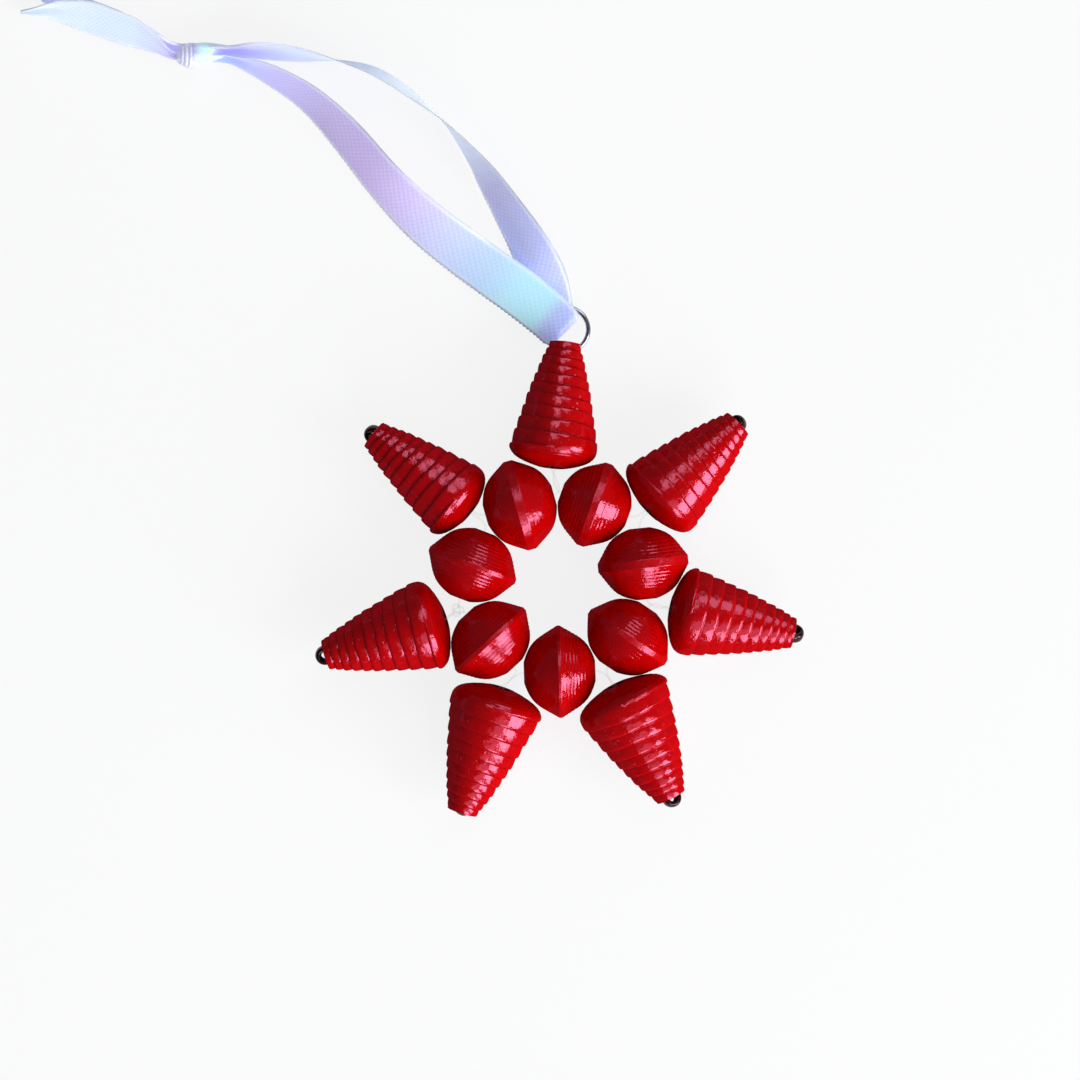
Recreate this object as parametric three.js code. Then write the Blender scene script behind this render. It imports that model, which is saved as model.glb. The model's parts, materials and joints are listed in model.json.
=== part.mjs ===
// Paper bead starburst ornament, lying flat on a table with its face up.
// Seven long ray beads and seven ring beads, rolled from paper strips and lacquered, are strung on
// one clear thread. A seed bead stops the thread at six ray tips. At the seventh tip the thread goes
// round a jump ring, which carries the hanging ribbon.
// Millimetres, +Z up. The origin is on the table, under the middle of the beads and the jump ring.

import * as THREE from 'three';
import { mergeVertices } from 'three/addons/utils/BufferGeometryUtils.js';

const radians = THREE.MathUtils.degToRad;

// Ray beads: the strip narrows as it is rolled, so each turn stops short of the one below it. Lacquer
// fills in part of the step at its edge.
const rayTurns = 10;
const rayTipRadius = 2.15;
const rayTaperLength = 16;
const rayRimBand = 0.5;
const rayPitchRatio = 2.1;
const rayTailTurn = 1 / 6;
const rayStep = 0.28;
const rayDomeDepth = 1.7;
const rayDomeFlatRadius = 2.1;
const rayDomePower = 3;
const rayBoreRadius = 1.1;
const rayMouthRadius = 1.85;
const rayMouthDepth = 1.6;
const rayDroop = 5;
const rayRadius = 6.4;

// Ring beads: short double cones with a narrow band round the middle.
const ringBeadRadius = 6.45;
const ringBeadHalfLength = 5;
const ringBeadHalfBand = 0.35;
const ringBeadTaper = 0.44;
const ringBeadRounding = 0.335;
const ringBeadRoundingPower = 6;
const ringBeadBoreRadius = 1;

// How each bead was strung, clockwise from the top ray: bearing round the star, lean off the true
// direction, fullness against a typical bead and, for a ray, the turn of the stop bead's hole.
const rays = [
  { bearing: 92, lean: -8, fullness: 0.99, holeTurn: 0 },
  { bearing: 39.9, lean: 4, fullness: 1.02, holeTurn: 50 },
  { bearing: -12.1, lean: 0.7, fullness: 0.985, holeTurn: 45 },
  { bearing: -61, lean: -2.1, fullness: 1.09, holeTurn: 65 },
  { bearing: -117.5, lean: 10, fullness: 1.05, holeTurn: 40 },
  { bearing: -162.8, lean: -0.5, fullness: 1.02, holeTurn: 75 },
  { bearing: 140.3, lean: 1.4, fullness: 0.9, holeTurn: 50 },
];
const ringBeads = [
  { bearing: 65.2, lean: 5.2, fullness: 0.95 },
  { bearing: 13.5, lean: -7.6, fullness: 0.99 },
  { bearing: -37.2, lean: 3.5, fullness: 1 },
  { bearing: -88.9, lean: 0.8, fullness: 1 },
  { bearing: -140.3, lean: 2.8, fullness: 1 },
  { bearing: 167.4, lean: -8.4, fullness: 1 },
  { bearing: 115.8, lean: -10.1, fullness: 1 },
];
const beadGap = 0.3;
const beadSides = 18;

// Glass seed beads that stop the thread in the mouth of a ray.
const stopBeadRadius = 1.42;
const stopBeadHalfLength = 0.8;
const stopBeadHoleRadius = 0.5;
const stopBeadGap = 0.3;
const stopBeadSides = 12;

// Clear stringing thread, tied off under the left ray.
const threadRadius = 0.175;
const threadSides = 6;
const threadClearance = 0.2;
const threadPassOffset = 0.4;
const threadLoopSpread = 0.55;
const threadLoopSteps = 4;
const threadCornerReach = 0.45;
const threadShoulder = 0.55;
const threadCrown = 0.8;
const threadInHole = 0.4;
const threadToKnot = 0.2;
const threadCornerSteps = 4;
const threadKnotRadius = 0.6;
const threadKnotDrop = 2.4;
const tiedRay = 5;

// Jump ring: round wire with a butted cut, flat under the top ray's mouth.
const jumpRingRadius = 3.15;
const jumpRingWireRadius = 0.35;
const jumpRingTuck = 1.1;
const jumpRingCut = 0.3;
const jumpRingCutBearing = 110;
const jumpRingSteps = 28;
const jumpRingSides = 8;

// Ribbon: one length, folded through the jump ring and tied in an overhand knot.
const ribbonThickness = 0.3;
const ribbonWidth = 7;
const ribbonClearance = 0.35;
const ribbonOnTable = 0.05;
const foldWidth = 4.7;
const foldPoint = [-0.83, 0.28];
const foldHeading = 135;
const foldSteps = 6;

// Ribbon routes from the jump ring's middle: x, y, lift off the table, tilt on edge and width.
const frontStrand = [
  [-2.3, 1.7, 1.7, 0, 6.8],
  [-6.2, 4.9, 1.3, 3, ribbonWidth],
  [-10.5, 8, 0.8, 8, ribbonWidth],
  [-14.8, 11.1, 0.3, 14, ribbonWidth],
  [-20.5, 15.6, 0, 24, ribbonWidth],
  [-26, 21.1, 0, 37, ribbonWidth],
  [-31.7, 27.9, 0, 46, ribbonWidth],
  [-36.9, 33, 0, 58, ribbonWidth],
  [-42, 36.2, 0, 63, 6.4],
  [-45.8, 37.9, 0.2, 66, 5],
  [-49, 38.9, 0.4, 66, 3],
];
const backStrand = [
  [-1.7, 2.6, 0, 0, 5.6],
  [-2.9, 6.4, 0, 8, 6.6],
  [-5, 11.4, 0, 34, ribbonWidth],
  [-8.7, 17.6, 0, 52, ribbonWidth],
  [-11.2, 21.5, 0, 62, ribbonWidth],
  [-13.4, 24.7, 0, 74, ribbonWidth],
  [-17.3, 29.4, 0, 90, ribbonWidth],
  [-21.8, 33.3, 0, 102, ribbonWidth],
  [-27.3, 36.8, 0, 104, ribbonWidth],
  [-32.6, 38.4, 0, 95, ribbonWidth],
  [-38.4, 39.3, 0, 76, 6.8],
  [-44, 39.9, 0.2, 68, 5.6],
  [-49, 40.1, 0.4, 66, 3],
];
const tailRoutes = [
  [
    [-56.2, 39.3, 0.4, 62, 2.6],
    [-59.3, 40.8, 0.3, 60, 5],
    [-62.2, 42.2, 0.3, 58, 6.8],
    [-65.3, 43.2, 0.3, 58, ribbonWidth],
    [-68.5, 44.2, 0.3, 58, ribbonWidth],
    [-72.4, 44.8, 0.3, 58, 5.4],
    [-74.6, 44.9, 0.3, 58, 3.8],
    [-78.4, 44.8, 0.3, 58, 0.6],
  ],
  [
    [-56.2, 40.7, 0.4, 66, 2.6],
    [-59.8, 42.1, 0, 64, 4.8],
    [-63.2, 43.6, 0, 64, 6.2],
    [-66, 44.7, 0, 63, 6.4],
    [-69, 45.8, 0, 62, 6],
    [-72, 46.7, 0, 60, 4.2],
    [-75.4, 47.6, 0, 58, 0.8],
  ],
];
const ribbonKnotMiddle = [-52.6, 39.5];
const ribbonKnotHeading = 180;
const ribbonKnotProfile = [
  [-2.9, 0.85],
  [-1.7, 1.25],
  [-0.3, 1.7],
  [1.2, 2],
  [2.3, 1.85],
  [2.9, 1.3],
];
const ribbonKnotSides = 14;

// A helper for a piece's own colour and finish.
const finish = (color, roughness, metalness = 0) =>
  new THREE.MeshStandardMaterial({ color, roughness, metalness });

function solid(positions, faces) {
  const geometry = new THREE.BufferGeometry();
  geometry.setAttribute('position', new THREE.Float32BufferAttribute(positions, 3));
  geometry.setIndex(faces);
  geometry.computeVertexNormals();
  return geometry;
}

// A closed profile of [along, radius] turned about its own axis, which is local +Y.
function turned(profile, sides) {
  const points = profile.map(([along, radius]) => new THREE.Vector2(radius, along));
  const geometry = new THREE.LatheGeometry(points, sides);
  geometry.deleteAttribute('uv');
  geometry.deleteAttribute('normal');
  const merged = mergeVertices(geometry, 1e-4);
  merged.computeVertexNormals();
  return merged;
}

// Rings of points joined into a closed bar with flat ends.
function bar(rings) {
  const sides = rings[0].length;
  const faces = [];
  for (let ring = 0; ring + 1 < rings.length; ring += 1) {
    for (let side = 0; side < sides; side += 1) {
      const here = ring * sides + side;
      const beside = ring * sides + ((side + 1) % sides);
      faces.push(here, beside, beside + sides, here, beside + sides, here + sides);
    }
  }
  const last = (rings.length - 1) * sides;
  for (let side = 1; side + 1 < sides; side += 1) {
    faces.push(0, side + 1, side, last, last + side, last + side + 1);
  }
  return solid(rings.flat().flatMap((point) => point.toArray()), faces);
}

function travel(points, index) {
  const before = points[Math.max(index - 1, 0)];
  const after = points[Math.min(index + 1, points.length - 1)];
  return after.clone().sub(before).normalize();
}

// A round cord through the given points, its section carried along without twist.
function roundCord(points, radius, sides) {
  let across = null;
  const rings = points.map((point, index) => {
    const along = travel(points, index);
    if (!across) across = new THREE.Vector3(along.y, -along.x, 0.01).cross(along);
    across = across.clone().addScaledVector(along, -across.dot(along)).normalize();
    const beside = along.clone().cross(across);
    return Array.from({ length: sides }, (_, side) => {
      const angle = (2 * Math.PI * side) / sides;
      return point
        .clone()
        .addScaledVector(across, radius * Math.cos(angle))
        .addScaledVector(beside, radius * Math.sin(angle));
    });
  });
  return bar(rings);
}

// Outline of a bead seen from above, anticlockwise, for setting beads against each other.
function outline(profile, x, y, heading) {
  const along = new THREE.Vector2(1, 0).rotateAround(new THREE.Vector2(), radians(heading));
  const beside = new THREE.Vector2(-along.y, along.x);
  const place = ([distance, radius], side) =>
    new THREE.Vector2(x, y).addScaledVector(along, distance).addScaledVector(beside, side * radius);
  const right = profile.map((point) => place(point, -1)).reverse();
  return [...right, ...profile.map((point) => place(point, 1))];
}

function separation(first, second) {
  let widest = -Infinity;
  for (const [still, other] of [[first, second], [second, first]]) {
    still.forEach((corner, index) => {
      const next = still[(index + 1) % still.length];
      const outward = new THREE.Vector2(next.y - corner.y, corner.x - next.x).normalize();
      const nearest = Math.min(...other.map((point) => outward.dot(point)));
      widest = Math.max(widest, nearest - outward.dot(corner));
    });
  }
  return widest;
}

// The shortest distance at which the beads still keep their gap.
function drawnUp(least, most, gapAt) {
  let near = least;
  let far = most;
  for (let step = 0; step < 40; step += 1) {
    const middle = (near + far) / 2;
    if (gapAt(middle) > beadGap) far = middle;
    else near = middle;
  }
  return far;
}

// Lower or lift a piece until its lowest point lies on the table.
function restOnTable(placed, mesh) {
  placed.updateMatrixWorld(true);
  placed.position.z -= new THREE.Box3().setFromObject(mesh, true).min.z;
  placed.updateMatrixWorld(true);
}

// Ray bead: edge of the strip after a number of turns, from the mouth back towards the dome.
const rayFirstPitch = (2 * (rayTaperLength - rayRimBand)) / (rayTurns * (1 + rayPitchRatio));
const rayPitchGrowth = (rayFirstPitch * (rayPitchRatio - 1)) / rayTurns;
const rayEdge = (turn) => rayTaperLength - rayFirstPitch * turn - (rayPitchGrowth * turn * turn) / 2;
const rayDomeShares = [0.32, 0.58, 0.8, 0.92, 1];

function rayDome(radius) {
  return rayDomeShares.map((share) => [
    -rayDomeDepth * share,
    radius - (radius - rayDomeFlatRadius) * share ** rayDomePower,
  ]);
}

function rayProfile(radius) {
  const step = (radius - rayTipRadius) / rayTurns;
  const edges = Array.from({ length: rayTurns }, (_, turn) => [
    rayEdge(turn + 1),
    rayTipRadius + step * (turn + 1),
  ]);
  return [[rayTaperLength, rayTipRadius], ...edges, [0, radius], ...rayDome(radius)];
}

// The strip is one spiral from the mouth to the dome. Its edge is a step, with a foot on the turn
// below, and the loose end of the last turn is pared down to nothing.
function rayBeadGeometry(radius) {
  const thickness = (radius - rayTipRadius) / rayTurns;
  const positions = [];
  const faces = [];
  const point = (distance, along, turn) => {
    const angle = 2 * Math.PI * turn;
    positions.push(distance * Math.sin(angle), along, distance * Math.cos(angle));
    return positions.length / 3 - 1;
  };
  const triangle = (a, b, c) => {
    if (a !== b && b !== c && c !== a) faces.push(a, b, c);
  };
  const quad = (a, b, c, d) => {
    triangle(a, b, c);
    triangle(a, c, d);
  };
  const ringOf = (radiusAt, along) =>
    Array.from({ length: beadSides }, (_, side) => {
      const turn = side / beadSides;
      return point(radiusAt(turn), along, turn);
    });
  const join = (upper, lower) => {
    for (let side = 0; side < beadSides; side += 1) {
      const next = (side + 1) % beadSides;
      quad(lower[side], lower[next], upper[next], upper[side]);
    }
  };
  const woundRadius = (turn) => {
    const last = turn - (rayTurns - 1);
    if (last <= 0) return rayTipRadius + thickness * Math.max(turn, 0);
    const rise = last < 1 - rayTailTurn ? last / (1 - rayTailTurn) : (1 - last) / rayTailTurn;
    return rayTipRadius + thickness * (rayTurns - 1 + rise);
  };

  const mouth = ringOf(() => rayTipRadius, rayTaperLength);
  const knots = rayTurns * beadSides;
  const lip = [mouth[0]];
  const foot = [mouth[0]];
  for (let knot = 1; knot <= knots; knot += 1) {
    const turn = knot / beadSides;
    const footRadius = Math.max(woundRadius(turn - 1), woundRadius(turn) - rayStep);
    foot.push(point(footRadius, rayEdge(turn), turn));
    lip.push(knot < knots ? point(woundRadius(turn), rayEdge(turn), turn) : foot[knot]);
  }
  const rim = ringOf((turn) => woundRadius(rayTurns - 1 + turn), 0);
  for (let knot = 0; knot < knots; knot += 1) {
    quad(lip[knot], lip[knot + 1], foot[knot + 1], foot[knot]);
    const below = knot + beadSides;
    if (below < knots) quad(foot[below], foot[below + 1], lip[knot + 1], lip[knot]);
  }
  for (let side = 0; side < beadSides; side += 1) {
    const next = (side + 1) % beadSides;
    const knot = knots - beadSides + side;
    quad(foot[side], foot[side + 1], mouth[next], mouth[side]);
    if (side === 0) triangle(rim[0], rim[1], lip[knots]);
    quad(side === 0 ? lip[knots] : rim[side], rim[next], lip[knot + 1], lip[knot]);
  }
  const dome = rayDome(radius).map(([along, full]) =>
    ringOf((turn) => full * (woundRadius(rayTurns - 1 + turn) / radius), along));
  const boreFoot = ringOf(() => rayBoreRadius, -rayDomeDepth);
  const boreHead = ringOf(() => rayBoreRadius, rayTaperLength - rayMouthDepth);
  const mouthInside = ringOf(() => rayMouthRadius, rayTaperLength);
  const rings = [rim, ...dome, boreFoot, boreHead, mouthInside, mouth];
  for (let ring = 0; ring + 1 < rings.length; ring += 1) join(rings[ring], rings[ring + 1]);
  return solid(positions, faces);
}

// Ring bead: straight tapers, rounded over at the ends.
const ringBeadShares = [0, 0.34, 0.64, 0.85, 1];

function ringBeadProfile(radius) {
  const half = ringBeadShares.map((share) => [
    ringBeadHalfBand + (ringBeadHalfLength - ringBeadHalfBand) * share,
    radius * (1 - ringBeadTaper * share - ringBeadRounding * share ** ringBeadRoundingPower),
  ]);
  return [...half.slice().reverse(), ...half.map(([along, distance]) => [-along, distance])];
}

// Stop bead: a rounded glass ring.
const stopBeadProfile = [
  [0.68, 0],
  [1, 0.27],
  [0.88, 0.7],
  [0.31, 1],
].map(([along, share]) => [
  stopBeadHalfLength * along,
  stopBeadHoleRadius + (stopBeadRadius - stopBeadHoleRadius) * share,
]);
const stopBeadFull = [
  ...stopBeadProfile,
  ...stopBeadProfile.map(([along, distance]) => [-along, distance]).reverse(),
  stopBeadProfile[0],
].reverse();

// The beads go into groups of their own, so that each turns about its own axis.
const star = new THREE.Group();
const lacquer = () => finish(0x9c0710, 0.22);

const ringOutline = (bead, reach) => {
  const bearing = radians(bead.bearing);
  return outline(
    ringBeadProfile(ringBeadRadius * bead.fullness),
    reach * Math.cos(bearing),
    reach * Math.sin(bearing),
    bead.bearing + bead.lean - 90,
  );
};
const ringReach = drawnUp(ringBeadHalfLength, 10 * ringBeadHalfLength, (reach) => {
  const outlines = ringBeads.map((bead) => ringOutline(bead, reach));
  const nextTo = (index) => outlines[(index + 1) % outlines.length];
  return Math.min(...outlines.map((each, index) => separation(each, nextTo(index))));
});

const ringGroups = ringBeads.map((bead, index) => {
  const bearing = radians(bead.bearing);
  const profile = ringBeadProfile(ringBeadRadius * bead.fullness);
  const bore = [
    [-ringBeadHalfLength, ringBeadBoreRadius],
    [ringBeadHalfLength, ringBeadBoreRadius],
  ];
  const closed = [...bore, ...profile, bore[0]].reverse();
  const mesh = new THREE.Mesh(turned(closed, beadSides), lacquer());
  mesh.name = `ring_bead_${index + 1}`;
  const group = new THREE.Group();
  group.position.set(ringReach * Math.cos(bearing), ringReach * Math.sin(bearing), 0);
  group.rotation.set(0, 0, radians(bead.bearing + bead.lean - 180));
  group.add(mesh);
  star.add(group);
  restOnTable(group, mesh);
  return group;
});

const mouthSlope = (rayMouthRadius - rayBoreRadius) / rayMouthDepth;
const stopBeadSeat =
  ((stopBeadRadius + stopBeadGap) * Math.hypot(1, mouthSlope) - rayMouthRadius) / mouthSlope;

const rayGroups = rays.map((ray, index) => {
  const bearing = radians(ray.bearing);
  const heading = ray.bearing + ray.lean;
  const radius = rayRadius * ray.fullness;
  const neighbours = [
    ringOutline(ringBeads[index], ringReach),
    ringOutline(ringBeads[(index + rays.length - 1) % rays.length], ringReach),
  ];
  const reach = drawnUp(ringReach, 3 * ringReach, (distance) => {
    const x = distance * Math.cos(bearing);
    const y = distance * Math.sin(bearing);
    const own = outline(rayProfile(radius), x, y, heading);
    return Math.min(...neighbours.map((other) => separation(own, other)));
  });
  const mesh = new THREE.Mesh(rayBeadGeometry(radius), lacquer());
  mesh.name = `ray_bead_${index + 1}`;
  const group = new THREE.Group();
  group.position.set(reach * Math.cos(bearing), reach * Math.sin(bearing), 0);
  group.rotation.set(radians(-rayDroop), 0, radians(heading - 90), 'ZXY');
  group.add(mesh);
  star.add(group);
  restOnTable(group, mesh);
  if (index > 0) {
    const stop = new THREE.Mesh(turned(stopBeadFull, stopBeadSides), finish(0x2a0408, 0.08));
    stop.name = `stop_bead_${index + 1}`;
    stop.position.y = rayTaperLength + stopBeadSeat;
    stop.rotation.set(0, radians(ray.holeTurn), Math.PI / 2, 'YXZ');
    group.add(stop);
    group.updateMatrixWorld(true);
  }
  return group;
});

// Jump ring, flat on the table over the back of the ribbon, tucked under the top ray's mouth.
const topRay = rayGroups[0];
const topHeading = radians(rays[0].bearing + rays[0].lean);
const topMouth = topRay.localToWorld(new THREE.Vector3(0, rayTaperLength, 0));
const outward = new THREE.Vector3(Math.cos(topHeading), Math.sin(topHeading), 0);
const backHeight = ribbonOnTable + ribbonThickness / 2;
const foldRadius = ribbonThickness / 2 + ribbonClearance + jumpRingWireRadius;
const jumpRingHeight = backHeight + foldRadius;
const jumpRingMiddle = topMouth.clone().addScaledVector(outward, jumpRingRadius - jumpRingTuck);
jumpRingMiddle.z = jumpRingHeight;

const cutAngle = jumpRingCut / jumpRingRadius;
const jumpRingPath = Array.from({ length: jumpRingSteps + 1 }, (_, step) => {
  const angle =
    radians(jumpRingCutBearing) + cutAngle / 2 + ((2 * Math.PI - cutAngle) * step) / jumpRingSteps;
  return jumpRingMiddle
    .clone()
    .add(new THREE.Vector3(Math.cos(angle), Math.sin(angle), 0).multiplyScalar(jumpRingRadius));
});
const jumpRing = new THREE.Mesh(
  roundCord(jumpRingPath, jumpRingWireRadius, jumpRingSides),
  finish(0xc8c8cc, 0.18, 1),
);
jumpRing.name = 'jump_ring';
star.add(jumpRing);

// Thread through one ray: up the bore on one side, round the stop bead and down on the other.
const boreExit = -rayDomeDepth - threadRadius;
const loopSide = stopBeadHalfLength + threadClearance + threadRadius;
const loopHead = rayTaperLength + stopBeadSeat;
const halfLoop = [
  [threadPassOffset, boreExit],
  [threadPassOffset, rayTaperLength - 2 * rayMouthDepth],
  [loopSide * threadShoulder, rayTaperLength - rayMouthDepth],
  [loopSide, rayTaperLength - threadRadius],
  [loopSide, loopHead - 2 * threadRadius],
  [loopSide * threadCrown, loopHead],
  [stopBeadHalfLength * threadInHole, loopHead],
];

function throughStopBead(group, holeTurn) {
  const turn = radians(holeTurn);
  const place = (side, along) =>
    group.localToWorld(new THREE.Vector3(side * Math.cos(turn), along, -side * Math.sin(turn)));
  const up = halfLoop.map(([side, along]) => place(-side, along));
  const down = halfLoop.map(([side, along]) => place(side, along)).reverse();
  return [...up, ...down];
}

// At the top ray the thread comes down in front of the lip, goes over the wire and under it, and
// climbs back into the mouth beside itself.
function roundJumpRing(group) {
  const keepOff = threadClearance + threadRadius;
  const wireLoop = jumpRingWireRadius + keepOff;
  const mouthHeight = topMouth.z;
  const lipHeight = mouthHeight - rayTipRadius;
  const sideways = new THREE.Vector3(outward.y, -outward.x, 0);
  const inBore = (side, along) => group.localToWorld(new THREE.Vector3(side, along, 0));
  const fromMouth = (ahead, height, side) => {
    const point = topMouth.clone().addScaledVector(outward, ahead).addScaledVector(sideways, side);
    point.z = height;
    return point;
  };
  const wireTurn = Array.from({ length: threadLoopSteps + 1 }, (_, step) => {
    const share = step / threadLoopSteps;
    const angle = Math.PI / 2 + Math.PI * share;
    const ahead = wireLoop * Math.cos(angle) - jumpRingTuck;
    const height = jumpRingHeight + wireLoop * Math.sin(angle);
    return fromMouth(ahead, height, threadLoopSpread * share);
  });
  const halfwayDown = (mouthHeight + lipHeight) / 2;
  return [
    inBore(-threadPassOffset, boreExit),
    inBore(-threadPassOffset, rayTaperLength - rayMouthDepth),
    fromMouth(keepOff / 2, halfwayDown + keepOff, 0),
    fromMouth(keepOff, halfwayDown - keepOff, 0),
    fromMouth(keepOff, lipHeight - keepOff, 0),
    fromMouth(-keepOff, jumpRingHeight + wireLoop + threadClearance, 0),
    ...wireTurn,
    fromMouth(-keepOff, jumpRingHeight - wireLoop / 2, threadLoopSpread),
    fromMouth(keepOff, jumpRingHeight + keepOff, threadLoopSpread),
    fromMouth(keepOff, lipHeight - keepOff, threadLoopSpread),
    fromMouth(keepOff, halfwayDown - keepOff, threadLoopSpread),
    fromMouth(keepOff / 2, halfwayDown + keepOff, threadLoopSpread),
    inBore(threadPassOffset, rayTaperLength - rayMouthDepth),
    inBore(threadPassOffset, boreExit),
  ];
}

const beadEnd = (group, side) =>
  group.localToWorld(new THREE.Vector3(0, side * ringBeadHalfLength, 0));

// A round corner between the end of a ring bead and the foot of a ray.
function corner(group, side, rayFoot) {
  const end = beadEnd(group, side);
  const axis = end.clone().sub(group.getWorldPosition(new THREE.Vector3())).normalize();
  const bend = end.clone().addScaledVector(axis, threadCornerReach * end.distanceTo(rayFoot));
  return new THREE.QuadraticBezierCurve3(end, bend, rayFoot).getPoints(threadCornerSteps);
}

const count = rays.length;
const tiedMiddle = beadEnd(ringGroups[tiedRay], -1)
  .add(beadEnd(ringGroups[tiedRay - 1], 1))
  .add(rayGroups[tiedRay].localToWorld(new THREE.Vector3(0, boreExit, 0)))
  .divideScalar(3);
const knotMiddle = tiedMiddle.clone();
knotMiddle.z -= threadKnotDrop;
const knotTop = knotMiddle.clone();
knotTop.z += threadKnotRadius / 2 + 2 * threadRadius + threadClearance;

const threadPath = [];
for (let step = 1; step <= count; step += 1) {
  const index = (tiedRay + step) % count;
  const before = ringGroups[(index + count - 1) % count];
  const after = ringGroups[index];
  const group = rayGroups[index];
  const inRay = index === 0 ? roundJumpRing(group) : throughStopBead(group, rays[index].holeTurn);
  if (step === 1) {
    const end = beadEnd(before, -1);
    threadPath.push(knotTop.clone().lerp(end, threadToKnot), tiedMiddle.clone().lerp(end, 0.5), end);
  }
  threadPath.push(...corner(before, 1, inRay[0]), ...inRay.slice(1, -1));
  const foot = inRay[inRay.length - 1];
  if (step < count) threadPath.push(...corner(after, -1, foot).reverse());
  else threadPath.push(foot, tiedMiddle.clone().lerp(foot, 0.5), knotTop.clone().lerp(foot, threadToKnot));
}
const nylon = () => finish(0xdfe4e6, 0.1);
const thread = new THREE.Mesh(roundCord(threadPath, threadRadius, threadSides), nylon());
thread.name = 'stringing_thread';
const knotGeometry = new THREE.TorusKnotGeometry(threadKnotRadius, threadRadius, 32, threadSides, 2, 3);
knotGeometry.deleteAttribute('uv');
knotGeometry.deleteAttribute('normal');
const threadKnot = new THREE.Mesh(mergeVertices(knotGeometry, 1e-4), nylon());
threadKnot.name = 'thread_knot';
threadKnot.position.copy(knotMiddle);
star.add(thread, threadKnot);

// Ribbon strip through stations of place, width direction and width.
function strip(stations) {
  const places = stations.map((station) => station.place);
  return bar(stations.map(({ place, across, width }, index) => {
    const thick = travel(places, index).cross(across).normalize();
    return [[-1, -1], [1, -1], [1, 1], [-1, 1]].map(([side, face]) =>
      place
        .clone()
        .addScaledVector(across, (side * width) / 2)
        .addScaledVector(thick, (face * ribbonThickness) / 2));
  }));
}

// Stations along a route that runs from the ring to the knot, or on from the knot. The right-hand
// edge is the one that lifts as the ribbon tilts.
function along(route, start) {
  const flat = route.map(([x, y]) => new THREE.Vector3(x, y, 0));
  const ahead = start ? [start, ...flat] : flat;
  return route.map(([x, y, lift, tilt, width], index) => {
    const going = travel(ahead, start ? index + 1 : index);
    const turn = radians(tilt);
    const across = new THREE.Vector3(going.y, -going.x, 0).multiplyScalar(Math.cos(turn));
    across.z = Math.sin(turn);
    const height = backHeight + lift + (width / 2) * Math.abs(Math.sin(turn));
    return { place: new THREE.Vector3(x, y, height), across, width };
  });
}

const ribbon = new THREE.Group();
ribbon.position.set(jumpRingMiddle.x, jumpRingMiddle.y, 0);
const satin = () => finish(0xb9c6f2, 0.4);

const foldTurn = radians(foldHeading);
const foldAway = new THREE.Vector3(Math.cos(foldTurn), Math.sin(foldTurn), 0);
const foldAcross = new THREE.Vector3(foldAway.y, -foldAway.x, 0);
const foldStart = new THREE.Vector3(...foldPoint, 0);
const fold = Array.from({ length: foldSteps + 1 }, (_, step) => {
  const share = step / foldSteps;
  const angle = Math.PI / 2 - Math.PI * share;
  const place = foldStart.clone().addScaledVector(foldAway, -foldRadius * Math.cos(angle));
  place.z = jumpRingHeight + foldRadius * Math.sin(angle);
  const width = THREE.MathUtils.lerp(frontStrand[0][4], foldWidth, Math.min(1, 2 * share));
  return { place, across: foldAcross, width };
});
const loop = new THREE.Mesh(
  strip([...along(frontStrand, foldStart).reverse(), ...fold, ...along(backStrand, foldStart)]),
  satin(),
);
loop.name = 'ribbon_loop';
ribbon.add(loop);

tailRoutes.forEach((route, index) => {
  const tail = new THREE.Mesh(strip(along(route)), satin());
  tail.name = `ribbon_tail_${index + 1}`;
  ribbon.add(tail);
});

const knotStart = ribbonKnotProfile[0][0];
const knotEnd = ribbonKnotProfile[ribbonKnotProfile.length - 1][0];
const knotClosed = [[knotStart, 0], ...ribbonKnotProfile, [knotEnd, 0]];
const ribbonKnot = new THREE.Mesh(turned(knotClosed, ribbonKnotSides), satin());
ribbonKnot.name = 'ribbon_knot';
ribbonKnot.position.set(...ribbonKnotMiddle, 0);
ribbonKnot.rotation.z = radians(ribbonKnotHeading - 90);
ribbon.add(ribbonKnot);

const ornament = new THREE.Group();
ornament.add(star, ribbon);
restOnTable(ribbonKnot, ribbonKnot);
const spread = new THREE.Box3().setFromObject(star, true);
const middle = spread.getCenter(new THREE.Vector3());
ornament.position.set(-middle.x, -middle.y, -spread.min.z);

export default ornament;
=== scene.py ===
import json
import math
import random

import bpy
from mathutils import Matrix, Vector


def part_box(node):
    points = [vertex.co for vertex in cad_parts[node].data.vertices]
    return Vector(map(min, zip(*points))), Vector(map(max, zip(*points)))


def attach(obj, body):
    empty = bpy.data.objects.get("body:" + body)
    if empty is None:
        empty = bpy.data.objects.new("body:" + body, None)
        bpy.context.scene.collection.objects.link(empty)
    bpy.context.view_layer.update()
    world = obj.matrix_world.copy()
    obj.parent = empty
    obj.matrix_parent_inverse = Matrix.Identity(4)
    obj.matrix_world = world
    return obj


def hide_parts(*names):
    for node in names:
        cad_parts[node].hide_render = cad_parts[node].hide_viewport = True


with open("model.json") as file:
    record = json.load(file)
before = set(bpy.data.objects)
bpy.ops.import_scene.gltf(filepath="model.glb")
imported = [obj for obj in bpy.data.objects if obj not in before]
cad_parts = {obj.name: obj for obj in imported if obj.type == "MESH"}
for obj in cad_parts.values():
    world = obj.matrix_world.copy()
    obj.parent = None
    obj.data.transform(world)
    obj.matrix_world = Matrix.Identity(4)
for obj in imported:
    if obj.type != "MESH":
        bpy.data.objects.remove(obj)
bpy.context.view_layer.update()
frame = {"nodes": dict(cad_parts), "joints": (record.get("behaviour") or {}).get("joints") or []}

# Ring beads. Seven short double cones, each a long triangle of red paper rolled up tight and
# dipped in lacquer. They are strung end to end in a closed ring. The last turn of the strip is a
# smooth band round the middle, and the turns below it show as fine lines on the flanks.

mm = 0.001
joints = {joint["name"]: joint for joint in frame["joints"]}


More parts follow.
